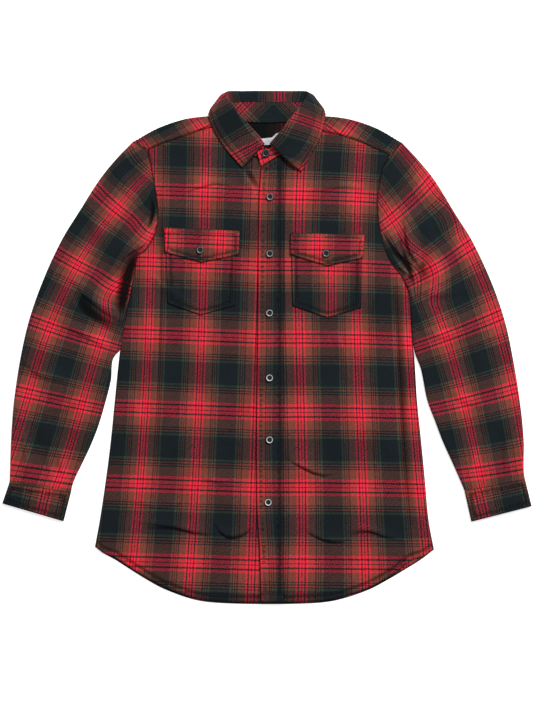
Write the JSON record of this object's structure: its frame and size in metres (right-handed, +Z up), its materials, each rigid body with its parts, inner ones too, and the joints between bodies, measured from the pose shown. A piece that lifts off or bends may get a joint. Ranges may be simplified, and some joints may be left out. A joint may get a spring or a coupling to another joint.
{
  "type": "flannel shirt",
  "caption": "Long-sleeved flannel shirt with a turned-down collar, buttoned front, flapped chest pockets and a curved hem, lying flat on its back.",
  "frame": {"origin": "middle of the shirt's bounding box on the surface it lies on", "axes": "+X towards the wearer's left, across the shirt; +Y from the hem towards the collar; +Z up, from the back to the front"},
  "size_m": [0.8744, 0.848, 0.0175],
  "materials": {
    "flannel": "brushed cotton flannel, woven plaid",
    "label": "plain woven tape",
    "button": "turned polyester button"
  },
  "bodies": {
    "root": {"back": "flannel", "yoke": "flannel", "front_right": "flannel", "front_left": "flannel", "placket": "flannel", "pocket_right": "flannel", "pocket_left": "flannel", "flap_right": "flannel", "flap_left": "flannel", "inner_yoke": "flannel", "sleeve_right": "flannel", "sleeve_left": "flannel", "cuff_right": "flannel", "cuff_left": "flannel", "collar_stand": "flannel", "collar": "flannel", "neck_label": "label", "button_stand": "button", "button_front_1": "button", "button_front_2": "button", "button_front_3": "button", "button_front_4": "button", "button_front_5": "button", "button_front_6": "button", "button_flap_right": "button", "button_flap_left": "button"}
  },
  "joints": []
}
